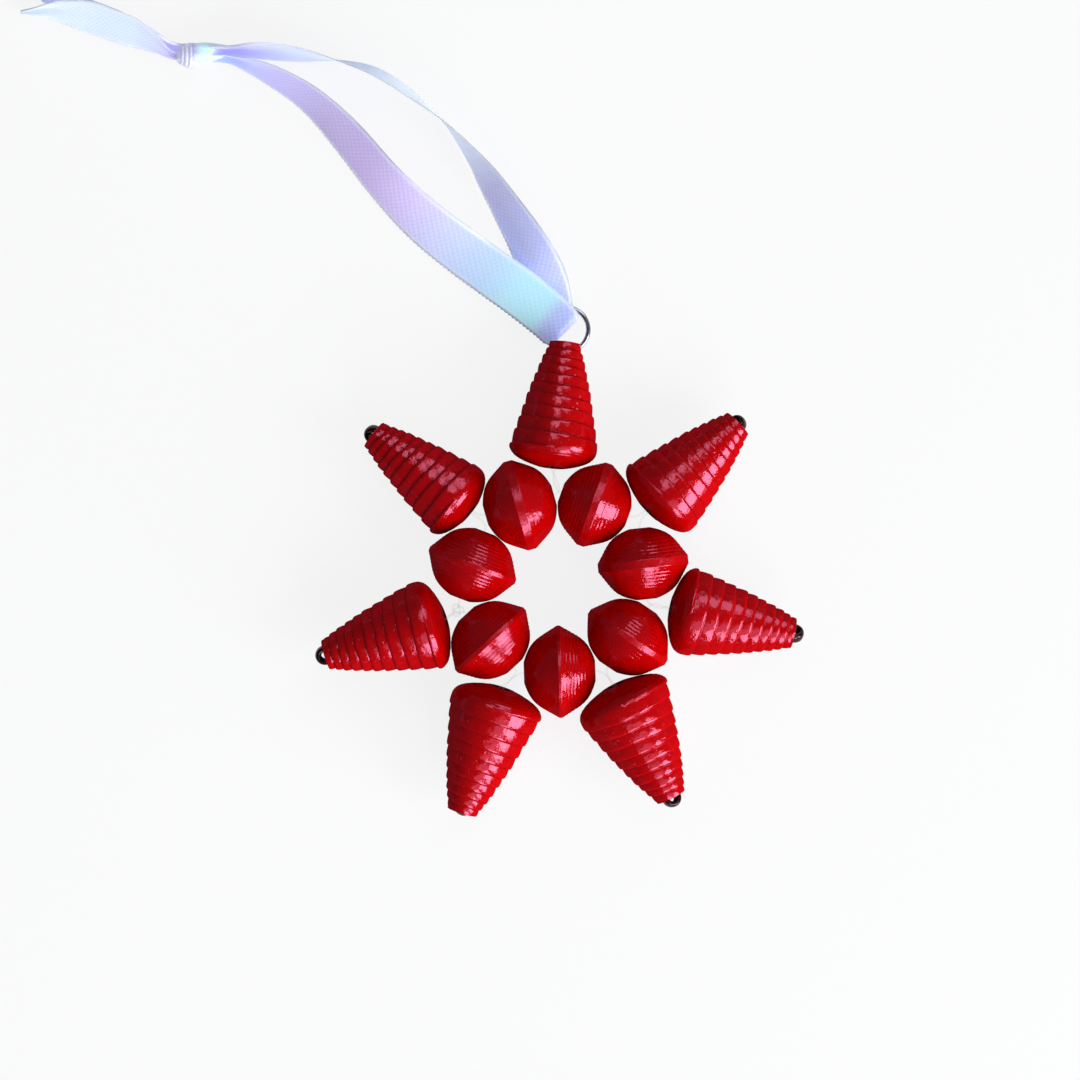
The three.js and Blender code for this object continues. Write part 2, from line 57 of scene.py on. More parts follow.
class Wire:
    """A socket in a finish. Arithmetic on wires and numbers adds Math nodes."""

    def __init__(self, tree, socket=None):
        self.tree = tree
        self.socket = socket

    def node(self, kind, settings, inputs, output=0):
        made = self.tree.nodes.new("ShaderNode" + kind)
        for name, value in settings.items():
            if name == "stops":
                elements = made.color_ramp.elements
                elements.remove(elements[1])
                elements[0].position, elements[0].color = value[0]
                for place, color in value[1:]:
                    elements.new(place).color = color
            else:
                setattr(made, name, value)
        for name, value in inputs.items():
            if isinstance(value, Wire):
                self.tree.links.new(value.socket, made.inputs[name])
            else:
                made.inputs[name].default_value = value
        return Wire(self.tree, made.outputs[output])

    def math(self, operation, *values):
        return self.node("Math", {"operation": operation}, dict(enumerate(values)))

    def __add__(self, other):
        return self.math("ADD", self, other)

    def __sub__(self, other):
        return self.math("SUBTRACT", self, other)

    def __mul__(self, other):
        return self.math("MULTIPLY", self, other)

    def __truediv__(self, other):
        return self.math("DIVIDE", self, other)

    def __rsub__(self, other):
        return self.math("SUBTRACT", other, self)

    def __rtruediv__(self, other):
        return self.math("DIVIDE", other, self)

    __radd__ = __add__
    __rmul__ = __mul__

    def surface(self):
        """This shader covers the piece."""
        output = self.tree.nodes.new("ShaderNodeOutputMaterial")
        self.tree.links.new(self.socket, output.inputs["Surface"])

    def between(self, low, high):
        """0 below low, 1 above high and a soft step in between."""
        settings = {"interpolation_type": "SMOOTHSTEP"}
        return self.node("MapRange", settings, {"Value": self, "From Min": low, "From Max": high})

    def tint(self, plain, full):
        """A colour from plain, where this is 0, to full, where it is 1."""
        return self.node("Mix", {"data_type": "RGBA"}, {0: self, 6: plain, 7: full}, 2)

    def noise(self, scale, detail, roughness=0.5):
        """A cloudy pattern at this place."""
        inputs = {"Vector": self, "Scale": scale, "Detail": detail, "Roughness": roughness}
        return self.node("TexNoise", {}, inputs)

    def bump(self, strength, distance):
        """The normal of a surface with this height."""
        inputs = {"Strength": strength, "Distance": distance, "Height": self}
        return self.node("Bump", {}, inputs)


def paint(red, green, blue):
    """A colour as it is seen, 0 to 255, for a shader."""
    linear = []
    for level in (red, green, blue):
        seen = level / 255
        linear.append(((seen + 0.055) / 1.055) ** 2.4 if level > 10 else seen / 12.92)
    return (*linear, 1)


def new_finish(name):
    """A new material without nodes, and a wire to build them on."""
    material = bpy.data.materials.new(name)
    material.use_nodes = True
    material.node_tree.nodes.clear()
    return material, Wire(material.node_tree)


def lacquered_paper():
    """Red paper under lacquer with pools, pits and a pink shine, with painted shade in its grooves,
    leaf lines and bores.
    """
    material, wire = new_finish("lacquered_paper")
    place = wire.node("TexCoord", {}, {}, "Object")
    lip = wire.node("Attribute", {"attribute_name": "lip"}, {}, "Fac")
    band = wire.node("Attribute", {"attribute_name": "band"}, {}, "Fac")
    pooled = place.noise(260, 3, 0.55)
    mottle = place.noise(900, 4, 0.6)
    peel = place.noise(1700, 2)
    pits = wire.node("TexVoronoi", {}, {"Vector": place, "Scale": 900, "Randomness": 1})
    speck = pooled.between(0.46, 0.62) * (1 - pits.between(0.05, 0.22))
    depth = pooled.between(0.3, 0.75) * 0.6 + mottle.between(0.35, 0.8) * 0.4
    red = depth.tint(paint(168, 1, 2), paint(188, 2, 3))
    # Painted shade: the red is darkened towards near-black red in the grooves, leaf lines and
    # bores, by the mark made on the mesh.
    red = (1 - lip).tint(red, paint(46, 0, 0))
    bump = (peel * 0.6 + mottle * 0.9 - speck * 1.2).bump(0.6, 0.00012)
    gloss = 0.07 + mottle.between(0.4, 0.8) * 0.06 + speck * 0.3 + band * 0.16
    colour = wire.node("BsdfPrincipled", {}, {
        "Base Color": red,
        "Roughness": gloss,
        "Specular IOR Level": 0,
        "Normal": bump,
    })
    shine = wire.node("BsdfGlossy", {}, {
        "Color": (1, 0.32, 0.52, 1),
        "Roughness": gloss,
        "Normal": bump,
    })
    edge_on = wire.node("LayerWeight", {}, {"Blend": 0.5}, "Facing")
    share = 0.09 - edge_on.between(0.22, 0.32) * 0.078
    wire.node("MixShader", {}, {0: share, 1: colour, 2: shine}).surface()
    return material


def make_piece(name, points, faces, finish, place, marks=None):
    """A smooth mesh of points in millimetres, set at its place. Marks are values at the points."""
    mesh = bpy.data.meshes.new(name)
    mesh.from_pydata([Vector(point) * mm for point in points], [], faces)
    for mark, values in (marks or {}).items():
        if isinstance(values[0], tuple):
            layer = mesh.attributes.new(mark, "FLOAT_VECTOR", "POINT")
            layer.data.foreach_set("vector", [part for value in values for part in value])
        else:
            layer = mesh.attributes.new(mark, "FLOAT", "POINT")
            layer.data.foreach_set("value", values)
    mesh.shade_smooth()
    mesh.materials.append(finish)
    piece = bpy.data.objects.new(name, mesh)
    bpy.context.collection.objects.link(piece)
    piece.matrix_world = place
    return piece


def bead_place(joint):
    """A bead's own frame: Y along its bore, X level and Z up."""
    bore = Vector(joint["axis"]).normalized()
    level = bore.cross((0, 0, 1)).normalized()
    turn = Matrix((level, bore, level.cross(bore))).transposed()
    return Matrix.Translation(joint["pos_m"]) @ turn.to_4x4()


def around(along, radius, turn):
    """A point so far along a bore and away from it, at a share of a turn round it."""
    return (radius * math.sin(math.tau * turn), along, radius * math.cos(math.tau * turn))


def rings_joined(rows, sides, loop):
    """Faces between rows of points that are each a ring. In a loop the last row meets the first."""
    faces = []
    for row in range(rows if loop else rows - 1):
        here = row * sides
        below = (row + 1) % rows * sides
        for side in range(sides):
            beside = (side + 1) % sides
            faces.append((here + side, here + beside, below + beside, below + side))
    return faces


paper = lacquered_paper()
ring_bead_sides = 96
ring_bead_rows = 150
ring_bead_half = 5.1
ring_bead_taper = 0.44
ring_bead_end_round = 0.335
ring_bead_bore = 1
ring_bead_bore_end = 0.3
ring_bead_line = 0.5
ring_bead_flank_lines = 20
ring_bead_lines_begin = 0.125
ring_bead_line_strengths = (0.6, 1.6)
ring_bead_groove_shade = 0.1
ring_bead_seed = 40
ring_bead_radii = [6.22, 6.48, 6.58, 6.6, 6.6, 6.6, 6.55]
ring_bead_bands = [0.5, 0.6, 0.4, 0.2, 0.3, 0.3, 0.6]
ring_bead_line_depths = [
    (0.03, 0.05), (0.05, 0.05), (0.02, 0.03), (0.01, 0.06),
    (0.05, 0.05), (0.05, 0.05), (0.008, 0.02),
]

ring_bead_sizes = zip(ring_bead_radii, ring_bead_bands, ring_bead_line_depths)
for number, (radius, half_band, line_depths) in enumerate(ring_bead_sizes, start=1):
    chance = random.Random(ring_bead_seed + number)
    start = chance.random()
    points, lip, band = [], [], []
    strengths = [
        chance.uniform(*ring_bead_line_strengths) for _ in range(2 * ring_bead_flank_lines)]
    for row in range(ring_bead_rows):
        along = ring_bead_half * (1 - 2 * row / (ring_bead_rows - 1))
        from_band = max(0, abs(along) - half_band)
        share = from_band / (ring_bead_half - half_band)
        full = radius * (1 - ring_bead_taper * share - ring_bead_end_round * share**6)
        flank = int(along < 0)
        for side in range(ring_bead_sides):
            turn = side / ring_bead_sides
            laps = from_band / ring_bead_line + turn + start
            edge = math.sin(math.pi * (laps % 1)) ** 0.9
            strength = strengths[int(laps) + ring_bead_flank_lines * flank]
            shown = min(1, share / ring_bead_lines_begin) * (1 - share**4) * strength
            points.append(around(along, full - line_depths[flank] * shown * (1 - edge), turn))
            # Painted shade: the grooves between the fine lines are marked a little darker.
            lip.append(1 - ring_bead_groove_shade * min(1, shown) * (1 - edge))
            band.append(1 if share == 0 else 0)
    bore_end = ring_bead_half - ring_bead_bore_end
    bore_rows = (-ring_bead_half, -bore_end, bore_end, ring_bead_half)
    for along in bore_rows:
        for side in range(ring_bead_sides):
            points.append(around(along, ring_bead_bore, side / ring_bead_sides))
            # Painted shade: the bore is marked fully dark.
            lip.append(0)
            band.append(0)
    faces = rings_joined(ring_bead_rows + len(bore_rows), ring_bead_sides, True)
    bead = make_piece(
        f"ring_bead_{number}_paper", points, faces, paper,
        bead_place(joints[f"ring_{number}_spin"]), {"lip": lip, "band": band})
    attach(bead, f"ring_{number}")
    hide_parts(f"ring_bead_{number}")

# Ray beads. Seven long tapered beads, each one strip of red paper that narrows as it is rolled, so
# that every turn stops short of the one below and leaves a step. Lacquer rounds the steps and lies
# in the grooves, which are painted darker as shade, as are the dome's leaf lines and the bore. The
# wide end is a dome of paper edges, and the thread comes out at the mouth.

ray_turns = 10
ray_sides = 112
ray_rows = 12
ray_row_ease = 0.1
ray_tip = 2.15
ray_lengths = [16, 16, 16, 16, 16.7, 16, 15.8]
ray_rim = 0.5
ray_pitch_ratio = 2.1
ray_tail = 1 / 6
ray_dome_depth = 2
ray_dome_power = 3
ray_dome_flat = 2.1
ray_dome_rings = 48
ray_shoulder = 1
ray_bore = 1.1
ray_mouth = 1.91
ray_mouth_bevel = 0.09
ray_mouth_bevel_depth = 0.08
ray_mouth_depth = 2.6
ray_well = 1.6
ray_well_depth = 1.3
ray_inside_shade = 0.2
ray_step = 0.28
ray_lip_round = 0.3
ray_crown = 0.065
ray_waver = 0.1
ray_groove_shade = 0.66
ray_leaf = 0.34
ray_leaf_most = 9
ray_leaf_depth = 0.03
ray_leaf_rise = 0.02
ray_leaf_shade = 0.2
ray_seed = 70
ray_radii = [6.4, 6.6, 6.38, 7.06, 6.8, 6.6, 5.86]


def ray_bead(radius, length, chance):
    """One strip wound from the mouth to the rim, closed by a dome of leaves, a bore and a mouth."""
    thickness = (radius - ray_tip) / ray_turns
    first_pitch = 2 * (length - ray_rim) / (ray_turns * (1 + ray_pitch_ratio))
    pitch_growth = first_pitch * (ray_pitch_ratio - 1) / ray_turns
    sway = [chance.random() * math.tau for _ in range(4)]
    points, lip, faces = [], [], []

    def wound_radius(turn):
        last = turn - (ray_turns - 1)
        if last <= 0:
            return ray_tip + thickness * max(turn, 0)
        rise = last / (1 - ray_tail) if last < 1 - ray_tail else (1 - last) / ray_tail
        return ray_tip + thickness * (ray_turns - 1 + rise)

    def edge(turn):
        if turn <= 0:
            return length
        slow = math.sin(1.7 * math.tau * turn + sway[0])
        quick = math.sin(4.3 * math.tau * turn + sway[1])
        steady = min(1, turn, 2 * (ray_turns - turn))
        waver = ray_waver * (0.6 * slow + 0.4 * quick) * steady
        return length - first_pitch * turn - pitch_growth * turn * turn / 2 + waver

    def rounded(along):
        past = max(0, ray_shoulder - along) / (ray_shoulder + ray_dome_depth)
        return (radius - ray_dome_flat) * past**ray_dome_power

    def add(along, distance, turn, mark):
        points.append(around(along, distance, turn))
        lip.append(mark)
        return len(points) - 1

    last = ray_turns * ray_sides
    columns = {}
    for number in range(last, -ray_sides - 1, -1):
        turn = number / ray_sides
        has_next = number + ray_sides <= last
        high = edge(turn)
        low = edge(turn + 1) if has_next else 0
        body = wound_radius(turn)
        foot = max(wound_radius(turn - 1), body - ray_step)
        onward = max(body, wound_radius(turn + 1) - ray_step) if has_next else body
        column = []
        for row in range(ray_rows):
            share = row / ray_rows
            share = share - ray_row_ease * math.sin(math.tau * share)
            reach = share * (high - low)
            raised = body + (onward - body) * share + ray_crown * 4 * share * (1 - share)
            curl = min(1, reach / ray_lip_round)
            climb = math.sqrt(1 - (1 - curl) ** 2) if turn > 0 else 1
            distance = foot + (raised - foot) * climb - rounded(high - reach)
            # Painted shade: the foot of each step, in the groove, is marked darker.
            shade = ray_groove_shade + (1 - ray_groove_shade) * climb
            column.append(add(high - reach, distance, turn, shade))
        columns[number] = column
    rims = [wound_radius(ray_turns - 1 + (side / ray_sides or 1)) for side in range(ray_sides)]
    rim = [add(0, rims[side] - rounded(0), side / ray_sides, 1) for side in range(ray_sides)]
    for number, column in columns.items():
        beyond = number + ray_sides
        column.append(columns[beyond][0] if beyond <= last else rim[number % ray_sides])
    for number in range(-ray_sides, last):
        here, beside = columns[number], columns[number + 1]
        for row in range(ray_rows):
            faces.append((here[row], here[row + 1], beside[row + 1], beside[row]))
    strip_end = columns[last]
    for row in range(ray_rows):
        faces.append((strip_end[row], strip_end[row + 1], rim[1]))

    leaves = [chance.uniform(0, 1) for _ in range(ray_leaf_most)]
    rings = [rim]
    for step in range(1, ray_dome_rings + 1):
        along = -ray_dome_depth * (1 - (1 - step / ray_dome_rings) ** 1.5)
        shrunk = 1 - rounded(along) / radius
        leaf = leaves[int(-along / ray_leaf)] * (0.5 - 0.5 * math.cos(math.tau * along / ray_leaf))
        lifted = along + ray_leaf_rise * leaf
        # Painted shade: the dome is marked darker along its leaf lines.
        shade = 1 - ray_leaf_shade * leaf
        rings.append([
            add(lifted, rims[side] * shrunk - ray_leaf_depth * leaf, side / ray_sides, shade)
            for side in range(ray_sides)])
    inside = [
        (-ray_dome_depth, ray_bore),
        (length - ray_mouth_depth, ray_bore),
        (length - ray_well_depth, ray_well),
        (length - ray_mouth_bevel_depth, ray_mouth - ray_mouth_bevel),
        (length, ray_mouth),
    ]
    # Painted shade: the inside of the bore and mouth is marked dark.
    for along, distance in inside:
        rings.append([
            add(along, distance, side / ray_sides, ray_inside_shade) for side in range(ray_sides)])
    rings.append([columns[side - ray_sides][0] for side in range(ray_sides)])
    for above, below in zip(rings, rings[1:]):
        for side in range(ray_sides):
            beside = (side + 1) % ray_sides
            faces.append((above[side], below[side], below[beside], above[beside]))
    return points, faces, lip


for number, (radius, length) in enumerate(zip(ray_radii, ray_lengths), start=1):
    points, faces, lip = ray_bead(radius, length, random.Random(ray_seed + number))
    bead = make_piece(
        f"ray_bead_{number}_paper", points, faces, paper,
        bead_place(joints[f"ray_{number}_spin"]), {"lip": lip})
    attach(bead, f"ray_{number}")
    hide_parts(f"ray_bead_{number}")

# Stop beads. Dark garnet glass seed beads in the mouths of six rays. The thread goes through each
# one and back down the ray, so the bead cannot pull in.

stop_bead_hole_turns = {2: 50, 3: 45, 4: 65, 5: 40, 6: 75, 7: 50}
stop_bead_sunk = {2: 0.32, 5: 0.3, 7: 0.32}
stop_bead_sides = 48
stop_bead_rows = 40
stop_bead_radius = 1.42
stop_bead_half = 0.8
stop_bead_hole = 0.5
stop_bead_bulge = 0.8


def garnet_glass():
    material, wire = new_finish("garnet_glass")
    place = wire.node("TexCoord", {}, {}, "Object")
    cloud = place.noise(700, 2)
    ripple = place.noise(1300, 1)
    shader = wire.node("BsdfPrincipled", {}, {
        "Base Color": cloud.between(0.35, 0.7).tint(paint(26, 2, 5), paint(56, 4, 10)),
        "Roughness": 0.06 + cloud * 0.06,
        "IOR": 1.36,
        "Normal": ripple.bump(0.12, 0.0001),
    })
    shader.surface()
    return material


garnet = garnet_glass()
middle = (stop_bead_radius + stop_bead_hole) / 2
swell = (stop_bead_radius - stop_bead_hole) / 2
points = []
for row in range(stop_bead_rows):
    angle = math.tau * row / stop_bead_rows
    share = abs(math.sin(angle)) ** stop_bead_bulge * math.copysign(1, math.sin(angle))
    wall = middle + swell * math.cos(angle)
    for side in range(stop_bead_sides):
        points.append(around(stop_bead_half * share, wall, side / stop_bead_sides))
faces = [face[::-1] for face in rings_joined(stop_bead_rows, stop_bead_sides, True)]
for number, hole_turn in stop_bead_hole_turns.items():
    low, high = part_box(f"stop_bead_{number}")
    ray = bead_place(joints[f"ray_{number}_spin"])
    sunk = ray.col[1].to_3d() * stop_bead_sunk.get(number, 0) * mm
    ray.translation = (Vector(low) + Vector(high)) / 2 - sunk
    turned = ray @ Matrix.Rotation(math.radians(hole_turn), 4, "Y")
    place = turned @ Matrix.Rotation(math.pi / 2, 4, "Z")
    bead = make_piece(f"stop_bead_{number}_glass", points, faces, garnet, place)
    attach(bead, "strung_thread")
    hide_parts(f"stop_bead_{number}")

# Stringing thread. One clear nylon monofilament through all the beads, doubled in every ray and
# drawn tight. Its two ends are tied in a small knot beside the left ray.


def clear_nylon():
    material, wire = new_finish("clear_nylon")
    place = wire.node("TexCoord", {}, {}, "Object")
    haze = place.noise(2500, 3)
    shader = wire.node("BsdfPrincipled", {}, {
        "Base Color": haze.between(0.3, 0.7).tint(paint(226, 230, 233), paint(244, 246, 248)),
        "Roughness": 0.08 + haze * 0.12,
        "IOR": 1.3,
        "Alpha": 0.03 + haze * 0.05,
        "Normal": haze.bump(0.2, 0.00003),
    })
    shader.surface()
    return material


nylon = clear_nylon()
for name in ("stringing_thread", "thread_knot"):
    strand = frame["nodes"][name]
    strand.data.materials.clear()
    strand.data.materials.append(nylon)

# Jump ring. Round silver-coloured wire bent into a ring, its two cut ends butted together. It lies
# flat under the top ray's mouth, held there by the thread.

jump_ring_radius = 3.15
jump_ring_wire = 0.35
jump_ring_cut = 0.3
jump_ring_cut_bearing = 110
jump_ring_steps = 160
jump_ring_sides = 24
jump_ring_end_round = (1, 0.82, 0.45, 0)


def silver_wire():
    material, wire = new_finish("silver_wire")
    place = wire.node("TexCoord", {}, {}, "Object")
    drawn = place.noise(1800, 4, 0.7)
    tarnish = place.noise(420, 3)
    shader = wire.node("BsdfPrincipled", {}, {
        "Base Color": tarnish.between(0.4, 0.75).tint(paint(206, 206, 210), paint(150, 148, 150)),
        "Metallic": 1,
        "Roughness": 0.12 + drawn * 0.16,
        "Normal": drawn.bump(0.15, 0.00004),
    })
    shader.surface()
    return material


silver = silver_wire()
low, high = (Vector(corner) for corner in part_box("jump_ring"))
jump_ring_middle = (low + high) / 2
points = []
cut_angle = jump_ring_cut / jump_ring_radius
cut_start = math.radians(jump_ring_cut_bearing) + cut_angle / 2
end_rows = len(jump_ring_end_round) - 1
for step in range(-end_rows, jump_ring_steps + end_rows + 1):
    inner = min(max(step, 0), jump_ring_steps)
    angle = cut_start + (math.tau - cut_angle) * inner / jump_ring_steps
    wire_radius = jump_ring_wire * jump_ring_end_round[abs(step - inner)]
    for side in range(jump_ring_sides):
        bend = math.tau * side / jump_ring_sides
        reach = jump_ring_radius + wire_radius * math.cos(bend)
        height = wire_radius * math.sin(bend)
        points.append((reach * math.cos(angle), reach * math.sin(angle), height))
rows = jump_ring_steps + 2 * end_rows + 1
faces = [face[::-1] for face in rings_joined(rows, jump_ring_sides, False)]
jump_ring = make_piece(
    "jump_ring_wire", points, faces, silver, Matrix.Translation(jump_ring_middle))
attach(jump_ring, "hanger")
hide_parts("jump_ring")

# Ribbon. One length of pale satin ribbon, about 7 mm wide, folded through the jump ring and tied.
# Each half is a flat cord from the fold to its own tail. A point of its route is x and y from the
# jump ring's middle, lift off the table, tilt on edge in degrees and width.

ribbon_half_width = 3.5
ribbon_least_width = 0.3
ribbon_thickness = 0.26
ribbon_rest = 0.2
ribbon_step = 0.17
ribbon_across = 15
ribbon_path_every = 3
ribbon_picot = 0.07
ribbon_picot_pitch = 0.68
ribbon_picot_full_width = 4
ribbon_hem = 0.86
ribbon_hem_swell = 0.25
ribbon_pleat_depth = 0.5
ribbon_pleat_full_width = 2.5
ribbon_pleats_begin = 40
ribbon_pleats_full = 50
fold_point = (-0.83, 0.28)
fold_heading = 135
fold_radius = 0.85
fold_width = 5.2
fold_steps = 3
front_strand = [
    (-2.3, 1.7, 1.7, 0, 6.8), (-6.2, 4.9, 1.3, 3, 7), (-10.5, 8, 0.8, 8, 7),
    (-14.8, 11.1, 0.3, 14, 7), (-20.5, 15.6, 0, 24, 7), (-26, 21.1, 0, 37, 7),
    (-31.7, 27.9, 0, 46, 7), (-36.9, 33, 0, 58, 7), (-42, 36.2, 0, 63, 6.4),
    (-45.8, 37.9, 0.2, 66, 5), (-49, 38.9, 0.4, 66, 3),
]
front_tail = [
    (-56.2, 39.4, 0.4, 62, 2.6), (-59.3, 41, 0.3, 58, 5), (-62.2, 42.5, 0.3, 55, 6.8),
    (-65.3, 43.6, 0.3, 54, 7), (-68.5, 44.7, 0.3, 54, 7), (-72.4, 45.5, 0.3, 55, 5.4),
    (-74.6, 45.7, 0.3, 56, 3.8), (-78.4, 45.7, 0.3, 57, 0.6),
]
back_strand = [
    (-1.7, 2.6, 0, 0, 5.6), (-2.9, 6.4, 0, 8, 6.6), (-5, 11.4, 0, 34, 7),
    (-8.7, 17.6, 0, 52, 7), (-11.2, 21.5, 0, 62, 7), (-13.4, 24.7, 0, 74, 7),
    (-17.3, 29.4, 0, 90, 7), (-21.8, 33.3, 0, 102, 7), (-27.3, 36.8, 0, 104, 7),
    (-32.6, 38.4, 0, 95, 7), (-38.4, 39.3, 0, 76, 6.8), (-44, 39.9, 0.2, 68, 5.6),
    (-49, 40.1, 0.4, 66, 3),
]
back_tail = [
    (-56.2, 40.7, 0.4, 66, 2.6), (-59.8, 42.1, 0, 64, 4.8), (-63.2, 43.6, 0, 64, 6.2),
    (-66, 44.7, 0, 63, 6.4), (-69, 45.8, 0, 62, 6), (-72, 46.7, 0, 60, 4.2),
    (-75.4, 47.6, 0, 58, 0.8),
]


def satin(name, shades):
    """Woven cloth with a faint painted glow. Its colours are given by how far along the ribbon they
    lie.
    """
    material, wire = new_finish(name)
    thread = wire.node("Attribute", {"attribute_name": "weave"}, {}, "Vector")
    along = wire.node("SeparateXYZ", {}, {"Vector": thread}, "X")
    across = wire.node("SeparateXYZ", {}, {"Vector": thread}, "Y")
    warp = across * 6.6 + along * 1.8
    weft = along * 7.6
    cloth = warp.math("SINE", warp) * weft.math("SINE", weft) * 0.5 + 0.5
    selvage = across.math("ABSOLUTE", across).between(2.75, 3.05)
    length = shades[-1][0]
    stops = [(at / length, paint(*color)) for at, color in shades]
    shade = wire.node("ValToRGB", {"stops": stops}, {"Fac": along / length})
    pale = (cloth * 0.22).tint(shade, paint(240, 244, 255))
    pale = (selvage * 0.35).tint(pale, paint(232, 238, 255))
    shader = wire.node("BsdfPrincipled", {}, {
        "Base Color": pale,
        "Roughness": 0.38 + cloth * 0.14,
        "Subsurface Weight": 0.35,
        "Subsurface Radius": (1, 1, 1),
        "Subsurface Scale": 0.001,
        "Sheen Weight": 0.6,
        "Sheen Roughness": 0.5,
        # Painted light: the cloth glows faintly in its own colours, though it is no lamp.
        "Emission Color": pale,
        "Emission Strength": 0.22,
        "Normal": (cloth * (1 - selvage * 0.6)).bump(0.35, 0.00008),
    })
    shader.surface()
    return material


def route_stations(route, before=None):
    """Middle, direction across and width at each point of a route."""
    flat_points = [Vector((x, y, 0)) for x, y, _, _, _ in route]
    spine = ([before] if before else []) + flat_points
    shift = len(spine) - len(flat_points)
    stations = []
    for index, (x, y, lift, tilt, width) in enumerate(route):
        here = index + shift
        going = (spine[min(here + 1, len(spine) - 1)] - spine[max(here - 1, 0)]).normalized()
        lean = math.radians(tilt)
        across = Vector((going.y, -going.x, 0)) * math.cos(lean)
        across.z = math.sin(lean)
        height = ribbon_rest + lift + width / 2 * abs(math.sin(lean))
        stations.append((Vector((x, y, height)), across, width))
    return stations


def smooth_run(stations, step):
    """The same route in even short steps, through every station."""
    rows = [(*middle, *across, width) for middle, across, width in stations]
    at = [0]
    for (first, _, _), (second, _, _) in zip(stations, stations[1:]):
        at.append(at[-1] + (second - first).length)
    slopes = []
    for index in range(len(rows)):
        low, high = max(index - 1, 0), min(index + 1, len(rows) - 1)
        ends = zip(rows[low], rows[high])
        slopes.append([(after - before) / (at[high] - at[low]) for before, after in ends])
    run = []
    count = max(2, round(at[-1] / step))
    piece = 0
    for number in range(count + 1):
        here = at[-1] * number / count
        while piece < len(at) - 2 and here > at[piece + 1]:
            piece += 1
        span = at[piece + 1] - at[piece]
        gone = (here - at[piece]) / span
        of_first = 2 * gone**3 - 3 * gone**2 + 1
        of_first_slope = (gone**3 - 2 * gone**2 + gone) * span
        of_second = 3 * gone**2 - 2 * gone**3
        of_second_slope = (gone**3 - gone**2) * span
        ends = zip(rows[piece], slopes[piece], rows[piece + 1], slopes[piece + 1])
        row = [
            of_first * first + of_first_slope * first_slope
            + of_second * second + of_second_slope * second_slope
            for first, first_slope, second, second_slope in ends]
        width = max(ribbon_least_width, row[6])
        run.append((Vector(row[:3]), Vector(row[3:6]).normalized(), width))
    return run


fold_turn = math.radians(fold_heading)
fold_away = Vector((math.cos(fold_turn), math.sin(fold_turn), 0))
fold_across = Vector((fold_away.y, -fold_away.x, 0))
fold_start = Vector((*fold_point, 0))
fold_height = ribbon_rest + fold_radius


def fold_stations(over, width):
    """Half of the fold, from its middle over the wire, or under it where over is -1."""
    stations = []
    for step in range(fold_steps + 1):
        angle = over * math.pi / 2 * step / fold_steps
        middle = fold_start - fold_away * fold_radius * math.cos(angle)
        middle.z = fold_height + fold_radius * math.sin(angle)
        widened = fold_width + (width - fold_width) * step / fold_steps
        stations.append((middle, fold_across, widened))
    return stations


def ribbon_half(name, stations, finish, pleat):
    """A strip of two faces along its stations, gathered in pleats where it is narrow."""
    run = smooth_run(stations, ribbon_step)
    points, weave, path = [], [], []
    reach = 0
    last = None
    for index, (middle, across, width) in enumerate(run):
        ahead = (run[min(index + 1, len(run) - 1)][0] - run[max(index - 1, 0)][0]).normalized()
        thick = ahead.cross(across).normalized()
        if last:
            reach += (middle - last).length
        last = middle
        if index % ribbon_path_every == 0 or index == len(run) - 1:
            path.append(middle)
        picot = ribbon_picot * math.sin(math.tau * reach / ribbon_picot_pitch)
        picot *= min(1, width / ribbon_picot_full_width)
        pleated = max(0, reach - ribbon_pleats_begin) / (ribbon_pleats_full - ribbon_pleats_begin)
        gather = max(0, 1 - width / 2 / ribbon_half_width) * min(1, pleated)
        depth = ribbon_pleat_depth * gather
        eased = min(1, width / ribbon_pleat_full_width)
        for face in (1, -1):
            for number in range(ribbon_across):
                offset = face * (-1 + 2 * number / (ribbon_across - 1))
                fold = depth * math.sin(1.5 * math.pi * offset + pleat) * eased
                hem = max(0, (abs(offset) - ribbon_hem) / (1 - ribbon_hem))
                swell = 1 + ribbon_hem_swell * min(1, hem * 3)
                half = ribbon_thickness / 2 * swell * math.sqrt(max(0, 1 - hem**4))
                sideways = across * offset * (width / 2 + picot * max(0, -offset) ** 6)
                points.append(middle + sideways + thick * (fold + face * half))
                weave.append((reach, offset * ribbon_half_width, 0))
    sides = 2 * ribbon_across
    faces = rings_joined(len(run), sides, False)
    faces.append(tuple(range(sides - 1, -1, -1)))
    faces.append(tuple((len(run) - 1) * sides + side for side in range(sides)))
    place = Matrix.Translation((jump_ring_middle.x, jump_ring_middle.y, 0))
    strip = make_piece(name, points, faces, finish, place, {"weave": weave})
    return strip, [place @ (point * mm) for point in path], reach


# Painted shade: these colours along each half are the ribbon's own tints, and they are darker where
# its face turns away from the light.
front_tints_and_shade = [
    (0, (165, 178, 250)), (3, (178, 190, 252)), (5, (178, 240, 255)), (9, (178, 236, 255)),
    (14, (182, 215, 255)), (22, (200, 208, 255)), (30, (208, 188, 246)), (38, (196, 172, 232)),
    (46, (184, 164, 220)), (56, (184, 172, 242)), (64, (158, 178, 252)), (70, (190, 180, 245)),
    (78, (205, 222, 255)), (100, (222, 236, 255)),
]
back_tints_and_shade = [
    (0, (180, 190, 252)), (14, (178, 184, 246)), (24, (176, 176, 226)), (32, (206, 222, 255)),
    (44, (206, 228, 255)), (50, (182, 204, 255)), (62, (190, 202, 255)), (68, (208, 198, 250)),
    (80, (214, 206, 252)), (100, (206, 222, 255)),
]
front, front_path, front_length = ribbon_half(
    "ribbon_front_half",
    fold_stations(1, 6.6) + route_stations(front_strand, fold_start) + route_stations(front_tail),
    satin("satin_front", front_tints_and_shade), 0.4)
back, back_path, back_length = ribbon_half(
    "ribbon_back_half",
    fold_stations(-1, 5) + route_stations(back_strand, fold_start) + route_stations(back_tail),
    satin("satin_back", back_tints_and_shade), 1.2)

# Ribbon knot. Both halves of the satin ribbon are tied together in one overhand knot, pulled flat,
# with the wrap of the ribbon pleated round its far end.

